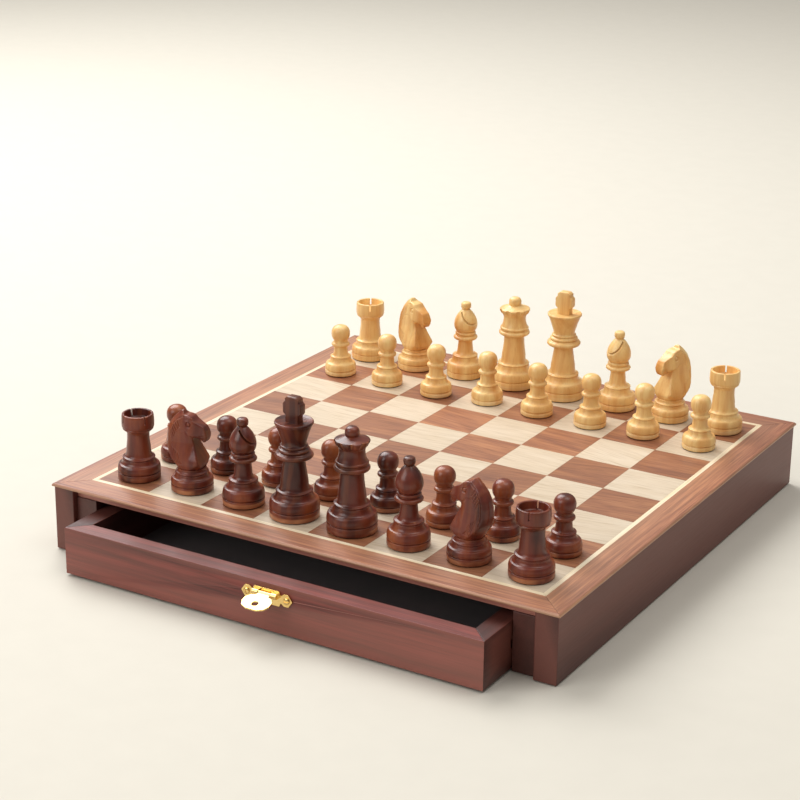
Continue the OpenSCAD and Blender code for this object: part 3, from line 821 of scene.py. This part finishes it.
class CHESS_OT_knights(MenOperator, bpy.types.Operator):
    """Turns the feet of the four knights and carves their heads"""

    bl_idname = "chess_set.knights"
    bl_label = "Knights"
    kind, foot_r = "knight", 10.8

    def model(self):
        top = context_sizes().knight_height
        neck = 12.6
        profile = [
            *foot(self.foot_r, 4, 8.3, 10.6), (7.6, 10.8), (7.3, 11.4), (7.4, neck - 0.2), (6.6, neck),
            (0, neck),
        ]
        base = lathe("knight", eased(profile, 0.18), 80)
        return cut(base, self.carve(top, neck - 0.6), operation="UNION")

    def carve(self, top, z):
        """The head and neck: two crossed outlines sawn from a block, chamfered, then cut with a knife."""
        side = [
            (-6.4, 0), (5.4, 0), (6.7, 1.0), (7.3, 2.6), (7.1, 4.0), (2.6, 16.0), (3.0, 17.3), (4.4, 17.4),
            (6.4, 16.6), (8.0, 15.0), (8.9, 15.2), (9.9, 17.0), (10.0, 18.6), (9.4, 21.2), (8.2, 23.2),
            (3.4, 25.6), (1.6, 27.6), (-0.4, 28.3), (-2.5, 28.4), (-3.4, top - z), (-4.4, top - z),
            (-7.4, 27.8), (-10.2, 24.6), (-12.0, 20.9), (-12.9, 16.8), (-13.0, 12.4), (-12.1, 7.8),
            (-10.6, 3.8), (-8.6, 1.0),
        ]
        front = [
            (-6.2, 0), (6.2, 0), (7.0, 1.0), (7.2, 3.0), (6.9, 5.4), (5.0, 14.4), (4.7, 20), (4.0, 25),
            (2.7, 30.5), (-2.7, 30.5), (-4.0, 25), (-4.7, 20), (-5.0, 14.4), (-6.9, 5.4), (-7.2, 3.0),
            (-7.0, 1.0),
        ]
        head = prism("head", [(u, v + z) for u, v in side], -9, 9, lambda u, v, d: Vector((u, d, v)))
        across = prism("across", [(u, v + z) for u, v in front], -14, 14, lambda u, v, d: Vector((d, u, v)))
        # Its foot was turned round before it was carved
        bowl_outline = [
            (0, 0), (6.3, 0), (7.5, 1.0), (9.1, 3.4), (11.4, 7), (14.5, 12), (16, 20), (16, 32), (0, 32),
        ]
        bowl = lathe("bowl", [(r, v + z) for r, v in bowl_outline], 64)
        cut(head, across, bowl, operation="INTERSECT")
        use_modifier(head, "REMESH", mode="VOXEL", voxel_size=ROUGH_GRAIN)
        use_modifier(head, "SMOOTH", factor=0.5, iterations=2)
        self.narrow(head, z)
        use_modifier(head, "REMESH", mode="VOXEL", voxel_size=FINE_GRAIN)
        use_modifier(head, "SMOOTH", factor=0.5, iterations=2)
        self.knife(head, z)
        return head

    # The back of the neck from the ears down, and the edge where the mane starts
    crest = [
        (-4.4, 30.2), (-7.4, 27.8), (-10.2, 24.6), (-12.0, 20.9), (-12.9, 16.8), (-13.0, 12.4), (-12.1, 7.8),
        (-10.6, 3.8), (-8.6, 1.0),
    ]

    def narrow(self, head, z):
        """Thins the muzzle and chamfers the mane to a narrow crest."""
        chamfer = 2.3
        for vert in head.data.vertices:
            x, up = vert.co.x / MM, vert.co.z / MM - z
            share = 1.0
            if up > 12:
                share *= 1 - 0.36 * smoothstep(1.0, 8.4, x) * min((up - 12) / 2, 1)
            # the front of the neck narrows towards the throat
            share *= 1 - 0.2 * smoothstep(-1.0, 3.0, x) * smoothstep(4, 13, up) * smoothstep(18.5, 16.5, up)
            inside = distance((x, up), self.crest)
            if x < -1 and inside < chamfer:
                share *= 0.34 + 0.6 * inside / chamfer
            vert.co.y *= share
        head.data.update()

    def knife(self, head, z):
        """Cuts the mane, the eye, the mouth and the cheek into both sides."""
        ridge = [
            (-3.2, 27.8), (-5.9, 26.0), (-8.3, 23.2), (-9.9, 19.9), (-10.6, 16.4), (-10.7, 12.6), (-9.8, 8.6),
            (-8.4, 4.8), (-7.0, 2.4),
        ]
        grooves = [
            (ridge, 0.42, 0.32),
            ([(u + 0.95, v - 0.4) for u, v in ridge[3:]], 0.24, 0.3),
            ([(u + 1.9, v - 0.8) for u, v in ridge[4:]], 0.22, 0.3),
            ([(-0.6, 20.4), (-3.2, 20.6), (-5.0, 20.2)], 0.16, 0.4),  # cheek
            ([(2.6, 17.4), (0.6, 18.2), (-0.6, 19.8)], 0.3, 0.5),
            ([(9.9, 18.0), (8.2, 18.4), (6.6, 18.2)], 0.25, 0.35),  # mouth
            ([(1.6, 25.6), (-0.8, 26.2), (-2.2, 27.6)], 0.3, 0.45),  # foot of the forelock
        ]
        for k in range(5):  # locks of hair under the ears
            u, v = -5.2 - 0.75 * k, 25.0 - 1.35 * k
            grooves.append(([(u + 0.9, v - 2.6), (u + 0.35, v - 1.0), (u - 0.75, v + 0.5)], 0.36, 0.3))
        for k in range(4):  # long strokes low on the neck
            u = -8.2 + 1.15 * k
            grooves.append(([(u, 11.4 - 0.9 * k), (u + 1.1, 7.4 - 0.7 * k), (u + 2.7, 3.4)], 0.36, 0.32))
        eye, eye_r = (0.5, 24.0), 1.15
        moved = []
        for vert in head.data.vertices:
            if abs(vert.normal.y) < 0.15:
                continue
            here = (vert.co.x / MM, vert.co.z / MM - z)
            sink = 0.0
            for line, depth, width in grooves:
                away = distance(here, line)
                if away < 3 * width:
                    sink = max(sink, depth * math.exp(-((away / width) ** 2)))
            # the eye is drilled: a ring with a dot left standing in it
            away = math.dist(here, eye)
            sink = max(sink, 0.55 * math.exp(-(((away - eye_r) / 0.36) ** 2)))
            share = smoothstep(0.15, 0.6, abs(vert.normal.y))
            moved.append((vert, vert.normal * (-sink * share * MM)))
        for vert, step in moved:
            vert.co += step
        head.data.update()


def smoothstep(low, high, value):
    """0 before low, 1 after high, and a soft rise between. low may be the larger."""
    t = min(max((value - low) / (high - low), 0.0), 1.0)
    return t * t * (3 - 2 * t)


def distance(point, line):
    """How far a point in the plane is from a bent line."""
    px, py = point
    best = 1e9
    for (ax, ay), (bx, by) in zip(line, line[1:]):
        ux, uy = bx - ax, by - ay
        t = min(max(((px - ax) * ux + (py - ay) * uy) / (ux * ux + uy * uy), 0), 1)
        best = min(best, math.hypot(px - ax - ux * t, py - ay - uy * t))
    return best


# ---------- Board, case, drawers and pulls ----------


def finish_solid(node, body, material, width_mm, segments=3):
    """A CAD solid with softened corners and its finish."""
    made = give(softened(node, width_mm, segments), MATERIALS[material])
    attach(made, body)
    return made


class CHESS_OT_board(bpy.types.Operator):
    """Finishes the inlaid squares, the pale line round them and the border"""

    bl_idname = "chess_set.board"
    bl_label = "Board"
    bl_options = {"REGISTER", "UNDO"}

    def execute(self, context):
        for node, material in (
            ("walnut_squares", "walnut_squares"), ("maple_squares", "maple_squares"),
            ("maple_stringing", "stringing"), ("steel_sheet", "steel"), ("core_panel", "case_x"),
        ):
            give(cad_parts[node], MATERIALS[material])
        finish_solid("border_rails", "board", "border", 0.16, 2)
        return {"FINISHED"}


class CHESS_OT_case(bpy.types.Operator):
    """Finishes the walls, the runner blocks and the rail between the drawers"""

    bl_idname = "chess_set.case"
    bl_label = "Case"
    bl_options = {"REGISTER", "UNDO"}

    def execute(self, context):
        for node in ("left_wall", "right_wall"):
            finish_solid(node, "board", "case_y", 0.5)
        finish_solid("runner_blocks", "board", "case_y", 0.3, 2)
        give(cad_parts["centre_spine"], MATERIALS["case_x"])
        return {"FINISHED"}


class CHESS_OT_drawers(bpy.types.Operator):
    """Finishes the two drawers and lays their felt"""

    bl_idname = "chess_set.drawers"
    bl_label = "Drawers"
    bl_options = {"REGISTER", "UNDO"}

    def execute(self, context):
        for end in ("front", "rear"):
            body = end + "_drawer"
            for part, material, width in (
                ("front", "case_x", 0.55), ("sides", "case_y", 0.35), ("back", "case_x", 0.35),
            ):
                finish_solid(f"{body}_{part}", body, material, width)
            give(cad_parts[body + "_bottom"], MATERIALS["case_x"])
            self.lay_felt(end, body)
        return {"FINISHED"}

    def lay_felt(self, end, body):
        """A sheet of felt cut a little small, with soft edges and a faint wave."""
        low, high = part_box(body + "_felt")
        size = high - low
        bpy.ops.object.select_all(action="DESELECT")
        bpy.ops.mesh.primitive_grid_add(
            x_subdivisions=64, y_subdivisions=36, size=1,
            location=((low.x + high.x) / 2, (low.y + high.y) / 2, low.z + 0.02 * MM),
        )
        felt = bpy.context.object
        felt.name = body + "_felt_lining"
        felt.scale = (size.x, size.y, 1)
        bpy.ops.object.transform_apply(location=True, rotation=True, scale=True)
        use_modifier(felt, "SOLIDIFY", thickness=size.z - 0.06 * MM, offset=1)
        for vert in felt.data.vertices:
            if vert.co.z > low.z + 0.5 * size.z:
                edge = min(vert.co.x - low.x, high.x - vert.co.x, vert.co.y - low.y, high.y - vert.co.y)
                drop = 0.35 * MM * (1 - smoothstep(0, 3.5 * MM, edge))
                wave = 0.08 * MM * math.sin(vert.co.x / 0.019) * math.sin(vert.co.y / 0.013 + 1)
                vert.co.z -= drop + max(wave, 0)
        felt.data.update()
        smooth(felt, 60)
        give(felt, MATERIALS["felt"])
        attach(felt, body)
        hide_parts(body + "_felt")


class CHESS_OT_pulls(bpy.types.Operator):
    """Finishes the brass plates, drop leaves, pins and screws"""

    bl_idname = "chess_set.pulls"
    bl_label = "Pulls"
    bl_options = {"REGISTER", "UNDO"}

    def execute(self, context):
        for end in ("front", "rear"):
            body = end + "_drawer"
            finish_solid(end + "_pull_plate", body, "brass", 0.14, 2)
            finish_solid(end + "_pull_leaf", end + "_leaf", "brass", 0.18, 2)
            give(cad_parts[end + "_pull_pin"], MATERIALS["brass"])
            self.screws(end, body)
        return {"FINISHED"}

    def screws(self, end, body):
        """Two domed, slotted screws at the ears of the plate."""
        node = end + "_pull_screws"
        low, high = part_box(node)
        outward = -1 if end == "front" else 1
        head_y = low.y if outward < 0 else high.y
        inner_y = high.y if outward < 0 else low.y
        middle_z = (low.z + high.z) / 2
        head_r = (high.z - low.z) / 2
        parts = []
        for k, x in enumerate((low.x + head_r, high.x - head_r)):
            h = head_r / MM
            screw = lathe(
                f"screw_{k}",
                [(0, 0), (0.85, 0.6), (0.9, 1.2), (0.9, 6.6), (h, 7.0), (h, 7.15),
                 *globe(h, 7.2, 10, 90, 0.32, 7)],
                32,
            )
            tall = 7.2 + 0.32 * h
            slot = block(
                "slot", (-0.22 * MM, -3 * MM, (tall - 0.38) * MM), (0.22 * MM, 3 * MM, (tall + 1) * MM),
            )
            slot.data.transform(Matrix.Rotation(math.radians(25 + 70 * k), 4, "Z"))
            cut(screw, slot)
            reach = abs(inner_y - head_y)
            screw.data.transform(Matrix.Scale(reach / (tall * MM), 4, (0, 0, 1)))
            lie = Matrix.Rotation(math.radians(90 if outward < 0 else -90), 4, "X")
            screw.data.transform(Matrix.Translation((x, inner_y, middle_z)) @ lie)
            parts.append(smooth(screw, 35))
        bpy.ops.object.select_all(action="DESELECT")
        for part in parts:
            part.select_set(True)
        bpy.context.view_layer.objects.active = parts[0]
        bpy.ops.object.join()
        joined = bpy.context.object
        joined.name = node + "_slotted"
        give(joined, MATERIALS["brass"])
        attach(joined, body)
        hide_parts(node)


# ---------- Stage ----------


class CHESS_OT_stage(bpy.types.Operator):
    """Sets the floor, the studio lights and the camera"""

    bl_idname = "chess_set.stage"
    bl_label = "Stage"
    bl_options = {"REGISTER", "UNDO"}

    def execute(self, context):
        sizes = context.scene.chess_stage
        bpy.ops.object.select_all(action="DESELECT")
        bpy.ops.mesh.primitive_plane_add(size=FLOOR_SIZE, location=(0, 0, -FLOOR_DROP))
        floor = context.object
        floor.name = "studio_floor"
        made, tree, shader = new_material("paper_sweep")
        place = add_node(tree, "TexCoord").outputs["Object"]
        pale = tuple(sizes.floor_colour)
        fleck = add_node(tree, "TexNoise", {}, {"Vector": place, "Scale": 60.0, "Detail": 3.0})
        shade = add_node(
            tree, "ValToRGB", {"stops": [(0.35, tuple(c * 0.985 for c in pale)), (0.65, pale)]},
            {"Fac": fleck.outputs["Fac"]},
        )
        tree.links.new(shade.outputs["Color"], shader.inputs["Base Color"])
        shader.inputs["Roughness"].default_value = 0.9
        give(floor, made)

        world = bpy.data.worlds.new("studio")
        world.use_nodes = True
        tree = world.node_tree
        sky = tree.nodes["Background"]
        ray = add_node(tree, "TexCoord").outputs["Generated"]
        height = add_node(tree, "SeparateXYZ", {}, {"Vector": ray}).outputs["Z"]
        shade = add_node(
            tree, "ValToRGB",
            {"stops": [(0.0, (0.3, 0.29, 0.28)), (0.35, (0.45, 0.43, 0.41)), (1.0, (1.0, 0.97, 0.93))]},
            {"Fac": height},
        )
        tree.links.new(shade.outputs["Color"], sky.inputs["Color"])
        sky.inputs["Strength"].default_value = sizes.fill
        context.scene.world = world

        for name, place, size, power in (
            ("softbox_key", (-1.05, 0.45, 1.35), 1.3, sizes.key_power),
            ("softbox_front", (-0.65, -1.3, 0.9), 1.0, sizes.key_power * 0.28),
            ("softbox_top", (0.5, 0.1, 1.7), 1.0, sizes.key_power * 0.2),
        ):
            lamp = bpy.data.lights.new(name, "AREA")
            lamp.shape, lamp.size, lamp.energy = "SQUARE", size, power
            holder = bpy.data.objects.new(name, lamp)
            holder.location = place
            aim = Vector((0, 0, 0.04)) - Vector(place)
            holder.rotation_euler = aim.to_track_quat("-Z", "Y").to_euler()
            context.scene.collection.objects.link(holder)

        camera = bpy.data.cameras.new("camera")
        camera.lens, camera.sensor_width = sizes.lens, 36
        camera.clip_start, camera.clip_end = 0.05, 20
        holder = bpy.data.objects.new("camera", camera)
        holder.location = sizes.camera_place
        holder.rotation_euler = sizes.camera_turn
        context.scene.collection.objects.link(holder)
        context.scene.camera = holder
        context.scene.view_settings.view_transform = "Standard"
        return {"FINISHED"}


# ---------- Settings, panel and registration ----------


def height_of(node):
    """How tall a man stands, in mm, from its CAD solid."""
    low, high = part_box(node)
    return (high.z - low.z) / MM


def height_setting(kind):
    """A height in mm whose default is the CAD's."""
    node = {"pawn": "dark_pawn_1", "queen": "dark_queen", "king": "dark_king"}.get(kind, f"dark_{kind}_left")
    return FloatProperty(
        name=f"{kind.capitalize()} height", description=f"Height of a {kind} over its felt, in millimetres",
        default=height_of(node), min=20, max=80,
    )


class ChessMenSettings(bpy.types.PropertyGroup):
    """Sizes of the men."""

    pawn_height: height_setting("pawn")
    rook_height: height_setting("rook")
    knight_height: height_setting("knight")
    bishop_height: height_setting("bishop")
    queen_height: height_setting("queen")
    king_height: height_setting("king")


class ChessStageSettings(bpy.types.PropertyGroup):
    """Floor, lights and camera."""

    floor_colour: FloatVectorProperty(
        name="Floor", description="Colour of the floor", subtype="COLOR", size=3,
        default=linear("#CDC8BC"), min=0, max=1,
    )
    key_power: FloatProperty(
        name="Key power", description="Power of the large softbox", default=36, min=0, unit="POWER"
    )
    fill: FloatProperty(name="Fill", description="Strength of the light all round", default=0.62, min=0)
    lens: FloatProperty(
        name="Lens", description="Focal length in millimetres", default=94.1, min=10, unit="CAMERA"
    )
    camera_place: FloatVectorProperty(
        name="Camera place", description="Where the camera stands", subtype="TRANSLATION", size=3,
        default=(0.5123, -0.9028, 0.44), unit="LENGTH",
    )
    camera_turn: FloatVectorProperty(
        name="Camera turn", description="How the camera is turned", subtype="EULER", size=3,
        default=tuple(math.radians(a) for a in (70.125, -0.586, 30.974)), unit="ROTATION",
    )


def context_sizes():
    """The men's settings on the open scene."""
    return bpy.context.scene.chess_men


OPERATORS = (
    CHESS_OT_board, CHESS_OT_case, CHESS_OT_drawers, CHESS_OT_pulls, CHESS_OT_pawns, CHESS_OT_rooks,
    CHESS_OT_knights, CHESS_OT_bishops, CHESS_OT_queens, CHESS_OT_kings, CHESS_OT_stage,
)


class CHESS_PT_panel(bpy.types.Panel):
    """Lists the steps that finish the set"""

    bl_idname = "CHESS_PT_panel"
    bl_label = "Chess set"
    bl_space_type = "VIEW_3D"
    bl_region_type = "UI"
    bl_category = "Chess set"

    def draw(self, context):
        for group in (context.scene.chess_men, context.scene.chess_stage):
            for name in group.__annotations__:
                self.layout.prop(group, name)
        for operator in OPERATORS:
            self.layout.operator(operator.bl_idname)


CLASSES = (ChessMenSettings, ChessStageSettings, *OPERATORS, CHESS_PT_panel)


def register():
    for cls in CLASSES:
        bpy.utils.register_class(cls)
    bpy.types.Scene.chess_men = PointerProperty(type=ChessMenSettings)
    bpy.types.Scene.chess_stage = PointerProperty(type=ChessStageSettings)


def unregister():
    del bpy.types.Scene.chess_men
    del bpy.types.Scene.chess_stage
    for cls in reversed(CLASSES):
        bpy.utils.unregister_class(cls)


def main():
    register()
    make_materials()
    for operator in OPERATORS:
        getattr(bpy.ops.chess_set, operator.bl_idname.split(".")[1])()
    bpy.ops.object.select_all(action="DESELECT")


if __name__ == "__main__":
    main()
